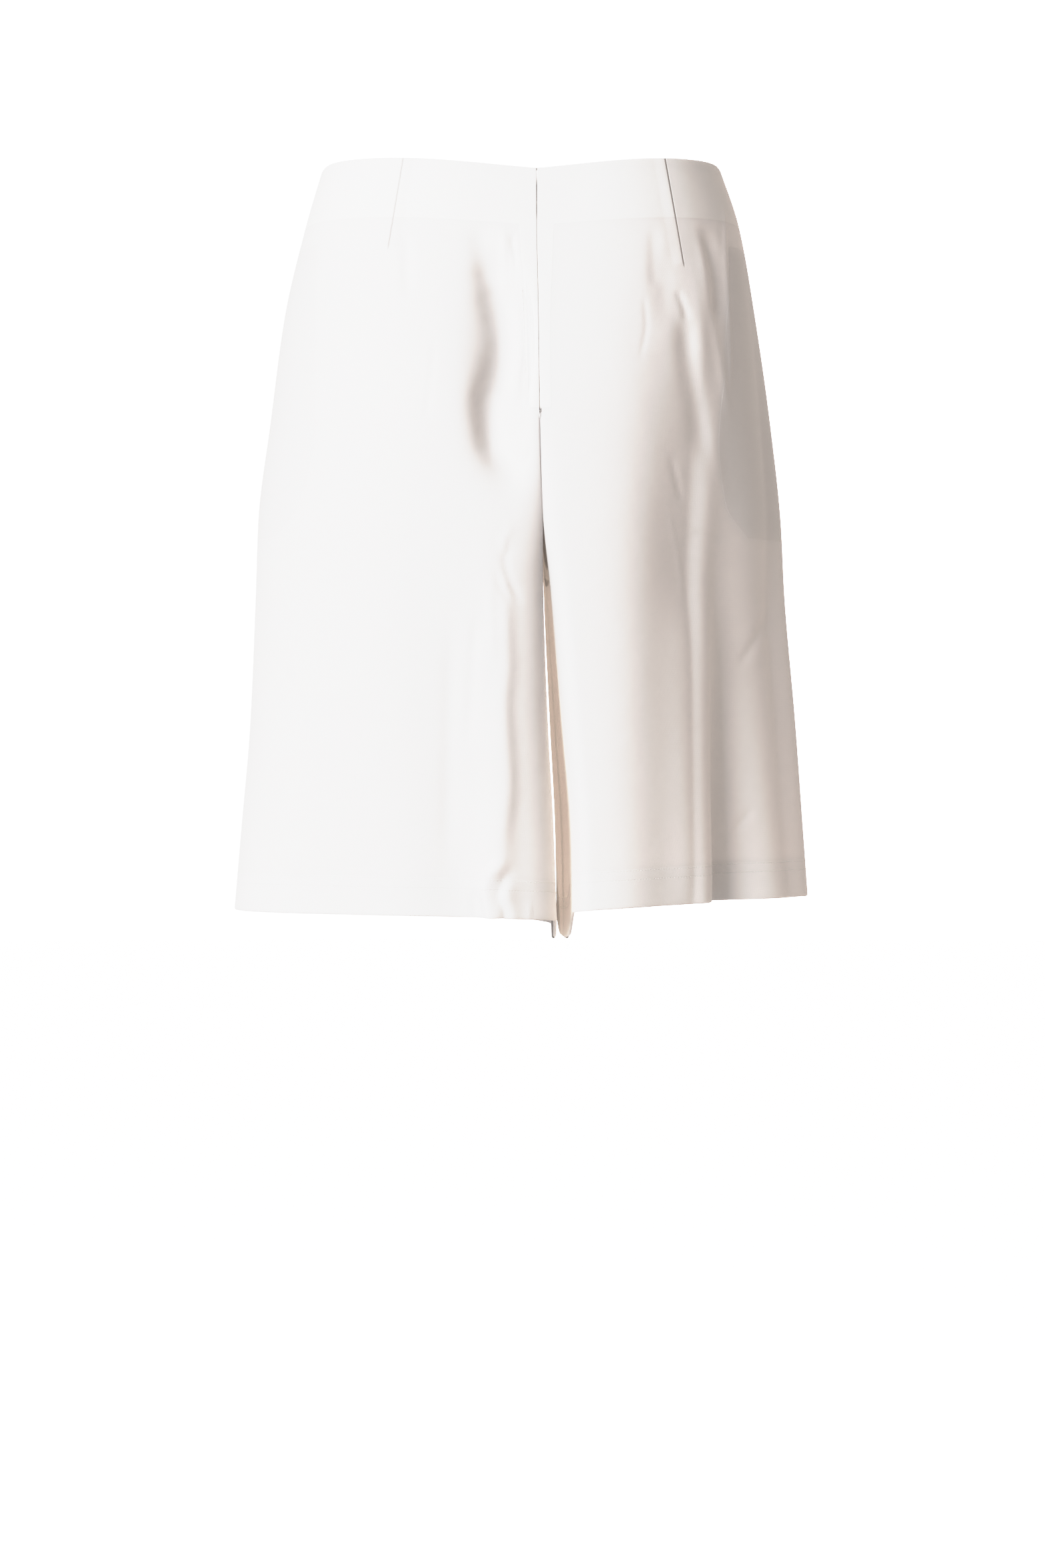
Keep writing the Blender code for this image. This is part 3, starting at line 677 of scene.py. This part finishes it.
def crepe(name, colour, backed_colour):
    """Stretch crepe: a fine pebbled weave with a faint satin sheen, a little uneven over a few
    centimetres, with what lies under it showing through. Over the pocket bag and in the dart's groove it
    takes a painted shade."""
    material = bpy.data.materials.new(name)
    material.use_nodes = True
    tree = material.node_tree
    cut = node(tree, "ShaderNodeUVMap", {}, uv_map="cut")
    place = node(tree, "ShaderNodeTexCoord", {}).node.outputs["Object"]
    pebble = node(tree, "ShaderNodeTexNoise", {"Vector": cut, "Scale": PEBBLES, "Detail": 2})
    ripple = node(tree, "ShaderNodeTexNoise", {"Vector": place, "Scale": RIPPLES, "Detail": 2})
    sag = node(tree, "ShaderNodeTexNoise", {"Vector": place, "Scale": SAGS, "Detail": 1})
    backed, bag_relief_and_shade = field(tree, "backed", -0.3, 0.5), field(tree, "bag_relief_and_shade", -0.3, 0.7)
    turned_up = field(tree, "above_hem", HEM_DEPTH + 0.4, HEM_DEPTH - 0.4)
    sewn = field(tree, "dart_up", -1.0, 4.0)
    dart = product(tree, sewn, product(tree, field(tree, "dart", -0.5, 0.2), field(tree, "dart", 9, 0.5)))
    # The dart's groove: sunk in the relief and darkened with painted shade.
    line = product(tree, sewn, product(tree, field(tree, "dart", -0.9, -0.1), field(tree, "dart", 0.7, -0.1)))
    height = total(
        tree,
        (pebble, 0.00005),
        (threads(tree, cut, CREPE_WEAVE, "X"), 0.00002),
        (threads(tree, cut, CREPE_WEAVE, "Y"), 0.00002),
        (ripple, 0.00035),
        (sag, 0.0012),
        (backed, 0.00012),
        (turned_up, 0.00008),
        (bag_relief_and_shade, 0.0002),
        (dart, 0.0009),
        (line, -0.0005),
    )
    for above in STITCH_ROWS:
        below_row = field(tree, "above_hem", above - 0.5, above)
        dent = product(tree, below_row, field(tree, "above_hem", above + 0.5, above))
        height = total(tree, (height, 1.0), (dent, -0.0001))
    fuller = total(tree, (backed, 0.9), (turned_up, 0.45), (ripple, 0.1), (sag, 0.1))
    # Painted shade: a little over the pocket bag, more in the groove along the dart's line.
    shaded = total(tree, (bag_relief_and_shade, 0.06), (line, 0.5))
    rough = total(tree, (pebble, 0.12), (backed, -0.04))
    rough = node(tree, "ShaderNodeMath", {0: rough, 1: 0.52}, operation="ADD")
    finish_cloth(tree, height, colour, backed_colour, fuller, rough, shaded)
    return material


def panel_marks(panel, place):
    """How far each place lies inside the fields where something backs the cloth, in mm: the facing and
    the zip's tape, the pocket bag. dart is the distance from the dart's line, towards the centre."""
    point, across, down = place
    x, depth = point[..., 0], -point[..., 2]
    backed = FACING_DEPTH - down
    bag_relief_and_shade = dart = dart_up = np.full_like(down, FAR_OUT)
    if panel.face == "back":
        tape = TAPE_SHOWS - abs(panel.width(down) - across)
        backed = np.maximum(backed, np.minimum(tape, SEAT_SEAM_DEPTH - down))
        reach = follow(*zip(*BAG_OUTLINE), (down - BAG_TOP) / (BAG_BOTTOM - BAG_TOP))
        # The pocket bag's field: the cloth over it is raised a little and takes painted shade.
        bag_relief_and_shade = np.minimum(reach - across, 4 * across)
        bag_relief_and_shade = np.minimum(bag_relief_and_shade, np.minimum(down - BAG_TOP, BAG_BOTTOM - down))
        seam = DARTS[panel.leg]
        slope = (seam.tip_x - seam.top_x) / (seam.tip_depth - seam.top_depth)
        dart = (seam.top_x + slope * (depth - seam.top_depth) - x) * np.sign(seam.top_x)
        dart_up = seam.tip_depth - depth
    return {
        "backed": backed,
        "bag_relief_and_shade": bag_relief_and_shade,
        "dart": dart,
        "dart_up": dart_up,
        "above_hem": LENGTH - down,
    }


crepe_white = crepe("crepe_white", CREPE, CREPE_BACKED)
panels = {}
for face, bands, count in (("back", BACK_COLUMNS, BACK_ROWS), ("front", FRONT_COLUMNS, FRONT_ROWS)):
    for leg in ("left", "right"):
        panel = panels[face, leg] = Panel(leg, face)
        columns = turned_edge(0, SEAM_TURN, SEAM_ALLOWANCE, 1, SEAM_GAP) + spaced(bands)
        columns += turned_edge(2, SEAM_TURN, SEAM_ALLOWANCE, -1, SEAM_GAP)
        rows = turned_edge(0, WAIST_TURN, WAIST_ALLOWANCE, 1) + spaced(((1, count),))
        rows += turned_edge(1, HEM_TURN, HEM_ALLOWANCE, -1)
        place = press(panel, columns, rows)
        name = f"{face}_panel_{leg}"
        shell = cut_cloth(name, panel, place, CLOTH, crepe_white, panel_marks(panel, place))
        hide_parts(f"{face}_{leg}")

# ---------------------------------------------------------------------------------------------------
# The waist facing. Four pieces of the same crepe, fused so that they hold the edge, are sewn to the top
# of the panels and turned inside. Their lower edge is overlocked. At the back they stop at the zip.
FACING_TOP, FACING_INSET, FACING_CLOTH = 1.5, 1.7, 0.6
FACING_SIDE, FACING_CENTRE, FACING_AT_ZIP = 0.2, 0.2, 12.3  # how far short of each seam it stops
FACING_COLUMNS, FACING_ROWS = ((0.92, 60),), 20
FACING_CREPE, FACING_THREAD = (0.86, 0.855, 0.84), (0.9, 0.895, 0.885)
OVERLOCK = 4.5  # width of the overlocked edge


def lining_cloth(name, colour, thread_colour, weave, overlock):
    """A plain woven cloth seen on the garment's inside. weave is the scale of its threads. Where its mark
    "edge" is under the overlock's width, in mm, loops of thread cover it."""
    material = bpy.data.materials.new(name)
    material.use_nodes = True
    tree = material.node_tree
    cut = node(tree, "ShaderNodeUVMap", {}, uv_map="cut")
    place = node(tree, "ShaderNodeTexCoord", {}).node.outputs["Object"]
    slub = node(tree, "ShaderNodeTexNoise", {"Vector": cut, "Scale": 2.2 * weave, "Detail": 2})
    limp = node(tree, "ShaderNodeTexNoise", {"Vector": place, "Scale": 40, "Detail": 2})
    sewn = field(tree, "edge", overlock, overlock - 0.4)
    loops = product(tree, sewn, threads(tree, cut, 125, "DIAGONAL"))
    height = total(
        tree,
        (threads(tree, cut, weave, "X"), 0.00004),
        (threads(tree, cut, weave, "Y"), 0.00004),
        (slub, 0.00004),
        (limp, 0.0005),
        (sewn, 0.00015),
        (loops, 0.00025),
    )
    fuller = total(tree, (sewn, 0.7), (slub, 0.2), (limp, 0.1))
    rough = total(tree, (slub, 0.1), (limp, 0.05))
    rough = node(tree, "ShaderNodeMath", {0: rough, 1: 0.6}, operation="ADD")
    finish_cloth(tree, height, colour, thread_colour, fuller, rough)
    return material


facing_crepe = lining_cloth("facing_crepe", FACING_CREPE, FACING_THREAD, CREPE_WEAVE, OVERLOCK)
for (face, leg), panel in panels.items():
    short = FACING_AT_ZIP if face == "back" else FACING_CENTRE
    columns = [Line(0, FACING_SIDE, 0, FACING_SIDE), *spaced(FACING_COLUMNS), Line(2, -short, 0, -short)]
    down = np.linspace(FACING_TOP, FACING_DEPTH, FACING_ROWS + 1)
    place = press(panel, columns, [Line(row / LENGTH, 0, 0, 0) for row in down], FACING_INSET)
    marks = {"edge": FACING_DEPTH - place[2]}
    facing = cut_cloth(f"waist_facing_{face}_{leg}", panel, place, FACING_CLOTH, facing_crepe, marks)
    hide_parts(f"facing_{face}_{leg}")

# ---------------------------------------------------------------------------------------------------
# The pocket bags. Each is one piece of thin pocketing folded in two, closed by overlock at the bottom and
# sewn into the side seam, and it hangs loose inside the back panel.
BAG_INSET = 2.5  # from the cloth's face
BAG_LAYERS, BAG_PRESSED = 1.0, 0.45  # how far apart its layers lie, and at its ends
BAG_CLOTH, BAG_END = 0.35, 18.0
BAG_COLUMNS, BAG_ROWS, BAG_FOLD_STEPS = 24, 70, 5
Wave = namedtuple("Wave", "height down across start")
BAG_WAVES = (Wave(0.12, 46, 19, 0.4), Wave(0.09, 23, 31, 1.7))
POCKETING, POCKETING_THREAD, POCKETING_WEAVE = (0.82, 0.81, 0.79), (0.88, 0.875, 0.865), 640

pocketing = lining_cloth("pocketing", POCKETING, POCKETING_THREAD, POCKETING_WEAVE, OVERLOCK)
for leg in ("left", "right"):
    panel = panels["back", leg]
    share = np.linspace(0, 1, BAG_COLUMNS + 1)
    turned = np.linspace(0, math.pi, BAG_FOLD_STEPS + 1)[1:-1]
    layer = np.concatenate([0 * share, (1 - np.cos(turned)) / 2, 0 * share + 1])[:, None]
    bulge = np.concatenate([0 * share, np.sin(turned) / 2, 0 * share])[:, None]
    share = np.concatenate([share, 0 * turned + 1, share[::-1]])[:, None]
    depth = np.linspace(BAG_TOP, BAG_BOTTOM, BAG_ROWS + 1)[None, :] + 0 * share
    reach = follow(*zip(*BAG_OUTLINE), (depth - BAG_TOP) / (BAG_BOTTOM - BAG_TOP))
    inside = ease((depth - BAG_TOP) / BAG_END) * ease((BAG_BOTTOM - depth) / BAG_END) * ease(3 - 3 * share)
    apart = BAG_PRESSED + (BAG_LAYERS - BAG_PRESSED) * inside
    along = BAG_SEAM + share * reach + bulge * apart
    drift = 0 * along
    for wave in BAG_WAVES:
        drift += wave.height * np.sin(math.tau * (depth / wave.down + along / wave.across) + wave.start)
    lift = follow(*zip(*WAIST_EDGE["back"]), along / panel.width(depth))
    lift *= 1 - ease(depth / LENGTH / WAIST_FADE)
    point, normal = panel.lay(along, depth - lift)
    point = point - normal * (BAG_INSET + layer * apart + drift)[..., None]
    across = np.where(layer > 0.5, 2 - share, share) * reach
    edge = np.minimum(np.minimum(depth - BAG_TOP, BAG_BOTTOM - depth), (1 - share) * reach)
    bag = cut_cloth(f"pocket_{leg}", panel, (point, across, depth), BAG_CLOTH, pocketing, {"edge": edge})
    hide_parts(f"pocket_bag_{leg}")

# ---------------------------------------------------------------------------------------------------
# The concealed zip. Two woven tapes are sewn to the centre back seam and fold round their own coil of
# nylon, so that the coil lies inside and nothing but the seam shows from outside.
TAPE_TOP, TAPE_END, TAPE_INSET, TAPE_CLOTH = 4.0, SEAT_SEAM_DEPTH - 1, 1.9, 0.5
TAPE_FOLD, TAPE_EDGE, TAPE_FLAP = 0.55, 0.1, 2.4  # the fold's radius, its distance from the seam, its flap
TAPE_COLUMNS, TAPE_ROWS = (12.0, 11.5, 9.5, 7.0, 4.5, 2.5), 90
TAPE_COLOUR, TAPE_CORD, TAPE_WEAVE, TAPE_BORDER = (0.83, 0.82, 0.8), (0.87, 0.86, 0.85), 300, 1.2
TOOTH_PITCH, TOOTH_SIZE, TOOTH_INSET = 1.35, (2.3, 0.9, 0.75), 3.6
TOOTH_PAST, TEETH_END = 0.5, SEAT_SEAM_DEPTH - 3  # how far a tooth reaches past the seam, where they stop
NYLON = (0.85, 0.845, 0.83)


def nylon(name, colour, roughness):
    """Drawn thread, smooth, with a faint twist and a little unevenness."""
    material = bpy.data.materials.new(name)
    material.use_nodes = True
    tree = material.node_tree
    shader = tree.nodes["Principled BSDF"]
    place = node(tree, "ShaderNodeTexCoord", {}).node.outputs["Object"]
    uneven = node(tree, "ShaderNodeTexNoise", {"Vector": place, "Scale": 900, "Detail": 2})
    height = total(tree, (threads(tree, place, 1500, "DIAGONAL"), 0.00003), (uneven, 0.00002))
    bump = node(tree, "ShaderNodeBump", {"Height": height, "Distance": 1.0, "Strength": 0.8})
    tree.links.new(bump, shader.inputs["Normal"])
    tints = {"Factor": uneven, "A": (*(0.93 * part for part in colour), 1), "B": (*colour, 1)}
    tint = node(tree, "ShaderNodeMix", tints, data_type="RGBA").node.outputs["Result"]
    tree.links.new(tint, shader.inputs["Base Color"])
    rough = {0: uneven, 1: 0.15, 2: roughness}
    tree.links.new(node(tree, "ShaderNodeMath", rough, operation="MULTIPLY_ADD"), shader.inputs["Roughness"])
    return material


def beads(mesh, centres, ways, sideways, size, rounds=1):
    """Adds a small rounded bead at each centre: size gives its length along its way, width and height."""
    for centre, way, side in zip(centres, ways, sideways):
        way = Vector(way).normalized()
        side = Vector(side)
        side = (side - way * side.dot(way)).normalized()
        turn = Matrix((way * size[0], side * size[1], way.cross(side) * size[2])).transposed() * MM
        place = Matrix.Translation(Vector(centre) * MM) @ turn.to_4x4()
        bmesh.ops.create_icosphere(mesh, subdivisions=rounds, radius=0.5, matrix=place)


tape_weave = lining_cloth("zip_tape_weave", TAPE_COLOUR, TAPE_CORD, TAPE_WEAVE, TAPE_BORDER)
coil_nylon = nylon("coil_nylon", NYLON, 0.35)
for leg in ("left", "right"):
    panel = panels["back", leg]
    rows = [Line(row / LENGTH, 0, 0, 0) for row in np.linspace(TAPE_TOP, TAPE_END, TAPE_ROWS + 1)]
    columns = [Line(2, -across, 0, -across) for across in TAPE_COLUMNS]
    for angle in np.linspace(0, math.pi, TURN_STEPS + 1):
        shift = TAPE_EDGE + TAPE_FOLD * (1 - math.sin(angle))
        columns.append(Line(2, -shift, TAPE_FOLD * (1 - math.cos(angle)), TAPE_FOLD * angle - TAPE_EDGE))
    flap = TAPE_EDGE + TAPE_FOLD + TAPE_FLAP
    columns.append(Line(2, -flap, 2 * TAPE_FOLD, TAPE_FOLD * math.pi - TAPE_EDGE + TAPE_FLAP))
    point, across, down = press(panel, columns, rows, TAPE_INSET)
    across = across - across[:1]
    tape = cut_cloth(f"tape_{leg}", panel, (point, across, down), TAPE_CLOTH, tape_weave, {"edge": across})
    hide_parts(f"zip_tape_{leg}")

    first = TAPE_TOP + TOOTH_PITCH * (1 if leg == "left" else 1.5)
    teeth = np.arange(first, TEETH_END, TOOTH_PITCH)
    _, depth, end = panel.lie(2, teeth / LENGTH)
    along = end - TOOTH_SIZE[0] / 2 + TOOTH_PAST
    point, normal = panel.lay(along, depth)
    across = panel.read(along + 1, depth) - panel.read(along - 1, depth)
    mesh = bmesh.new()
    beads(mesh, point - normal * TOOTH_INSET, across, normal, TOOTH_SIZE, rounds=2)
    coil = as_piece(f"coil_{leg}", mesh, coil_nylon)

# ---------------------------------------------------------------------------------------------------
# The zip's slider. A small lacquered casting rides on the coil, closed at the top, with its pull hanging
# inside. It has two plates joined by a post, rims that hold the coil, and a loop for the pull.
SLIDER_DEPTH, SLIDER_SIZE = 28.0, (6.0, 2.6, 9.0)
PLATE, RIM, POST = 0.6, 0.7, 1.6
PLATE_EDGE, RIM_EDGE, POST_EDGE, PULL_EDGE = 0.25, 0.2, 0.3, 0.35
PLATE_TAPER, PULL_TAPER = 0.72, 1.25
RIM_LENGTH, RIM_RISE = 0.62, 0.16  # as shares of the slider's height
PULL_SIZE, PULL_TOP = (3.4, 0.8, 11.0), 1.0
LOOP_RADIUS, LOOP_TOP, LOOP_WIRE, LOOP_STEPS = 1.5, 2.6, 0.35, 12
LACQUER = (0.84, 0.835, 0.82)


def lacquered(name, colour):
    """Lacquer on die-cast zinc: glossy, with the casting's faint unevenness under it."""
    material = bpy.data.materials.new(name)
    material.use_nodes = True
    tree = material.node_tree
    shader = tree.nodes["Principled BSDF"]
    place = node(tree, "ShaderNodeTexCoord", {}).node.outputs["Object"]
    cast = node(tree, "ShaderNodeTexNoise", {"Vector": place, "Scale": 700, "Detail": 3})
    height = total(tree, (cast, 0.00004))
    bump = node(tree, "ShaderNodeBump", {"Height": height, "Distance": 1.0, "Strength": 0.7})
    tree.links.new(bump, shader.inputs["Normal"])
    tints = {"Factor": cast, "A": (*(0.9 * part for part in colour), 1), "B": (*colour, 1)}
    tint = node(tree, "ShaderNodeMix", tints, data_type="RGBA").node.outputs["Result"]
    tree.links.new(tint, shader.inputs["Base Color"])
    rough = {0: cast, 1: 0.2, 2: 0.22}
    tree.links.new(node(tree, "ShaderNodeMath", rough, operation="MULTIPLY_ADD"), shader.inputs["Roughness"])
    shader.inputs["Coat Weight"].default_value = 0.4
    shader.inputs["Coat Roughness"].default_value = 0.15
    return material


def block(mesh, size, centre, rounding, taper=1.0):
    """A cast block with rounded edges, in mm. Its lower end is as wide as the taper says."""
    corners = bmesh.ops.create_cube(mesh, size=1)["verts"]
    bmesh.ops.scale(mesh, verts=corners, vec=size)
    bmesh.ops.scale(mesh, verts=[v for v in corners if v.co.z < 0], vec=(taper, 1, 1))
    edges = list({edge for corner in corners for edge in corner.link_edges})
    made = bmesh.ops.bevel(
        mesh, geom=edges, offset=rounding, segments=3, profile=0.5, affect="EDGES", material=-1
    )
    kept = {v for v in made["verts"]} | {v for v in corners if v.is_valid}
    bmesh.ops.translate(mesh, verts=list(kept), vec=centre)


mesh = bmesh.new()
wide, deep, high = SLIDER_SIZE
for side in (-1, 1):
    plate = (wide, PLATE, high)
    block(mesh, plate, (0, side * (deep - PLATE) / 2, 0), PLATE_EDGE, PLATE_TAPER)
    rim = (RIM, deep - 0.2, high * RIM_LENGTH)
    block(mesh, rim, (side * (wide - RIM) / 2, 0, high * RIM_RISE), RIM_EDGE)
block(mesh, (POST, deep - 0.4, POST), (0, 0, high / 2 - POST), POST_EDGE)
inner_face = -deep / 2
pull_place = (0, inner_face - PULL_SIZE[1], PULL_TOP - PULL_SIZE[2] / 2)
block(mesh, PULL_SIZE, pull_place, PULL_EDGE, PULL_TAPER)
wire = bmesh.ops.create_circle(mesh, segments=10, radius=LOOP_WIRE)["verts"]
bmesh.ops.translate(mesh, verts=wire, vec=(0, inner_face, LOOP_TOP))
outline = wire + list({edge for v in wire for edge in v.link_edges})
middle = (0, inner_face, LOOP_TOP - LOOP_RADIUS)
half_turn = {"cent": middle, "axis": (1, 0, 0), "dvec": (0, 0, 0), "angle": -math.pi}
bmesh.ops.spin(mesh, geom=outline, steps=LOOP_STEPS, use_duplicate=False, **half_turn)
bmesh.ops.recalc_face_normals(mesh, faces=mesh.faces[:])
rise = ring("back", SLIDER_DEPTH + high / 2) - ring("back", SLIDER_DEPTH - high / 2)
bmesh.ops.rotate(mesh, verts=mesh.verts[:], matrix=Matrix.Rotation(math.atan2(rise, high), 3, "X"))
bmesh.ops.scale(mesh, verts=mesh.verts[:], vec=(MM, MM, MM))
seat_low, seat_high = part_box("zip_slider")
bmesh.ops.translate(mesh, verts=mesh.verts[:], vec=(Vector(seat_low) + Vector(seat_high)) / 2)
slider = as_piece("slider_and_pull", mesh, lacquered("white_lacquer", LACQUER))
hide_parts("zip_slider")

# ---------------------------------------------------------------------------------------------------
# The hem's stitches. A twin needle sews two rows around each hem. Inside, its looper thread zigzags
# between them over the raw edge.
STITCH_PITCH, STITCH_SIZE = 2.3, (1.8, 0.34, 0.3)
STITCH_FROM_SEAM, STITCH_PROUD = 3.0, 0.03
LOOPER_SIZE, LOOPER_UNDER = (6.7, 0.36, 0.3), 2 * HEM_TURN + 0.1
THREAD = (0.84, 0.835, 0.82)

thread = nylon("hem_thread", THREAD, 0.45)
for (face, leg), panel in panels.items():
    mesh = bmesh.new()
    share = np.linspace(0, 2, FINE)
    spots = []
    for above in STITCH_ROWS:
        line_along, line_depth, end = panel.lie(share, 1 - above / LENGTH)
        along = np.arange(STITCH_FROM_SEAM, line_along[-1] - STITCH_FROM_SEAM, STITCH_PITCH)
        at = np.interp(along, line_along, share)
        depth = np.interp(along, line_along, line_depth)
        point, normal = panel.lay(along, depth)
        point = point + normal * relief(panel, point[:, 0], depth, at, along, line_along[-1])[:, None]
        spots.append((point, normal))
        beads(mesh, point + STITCH_PROUD * normal, np.gradient(point, axis=0), normal, STITCH_SIZE)
    count = min(len(point) for point, _ in spots) - 1
    upper, lower = (point[:count] - LOOPER_UNDER * normal[:count] for point, normal in spots)
    beads(mesh, (upper + lower) / 2, lower - upper, spots[0][1][:count], LOOPER_SIZE)
    stitches = as_piece(f"hem_stitches_{face}_{leg}", mesh, thread)
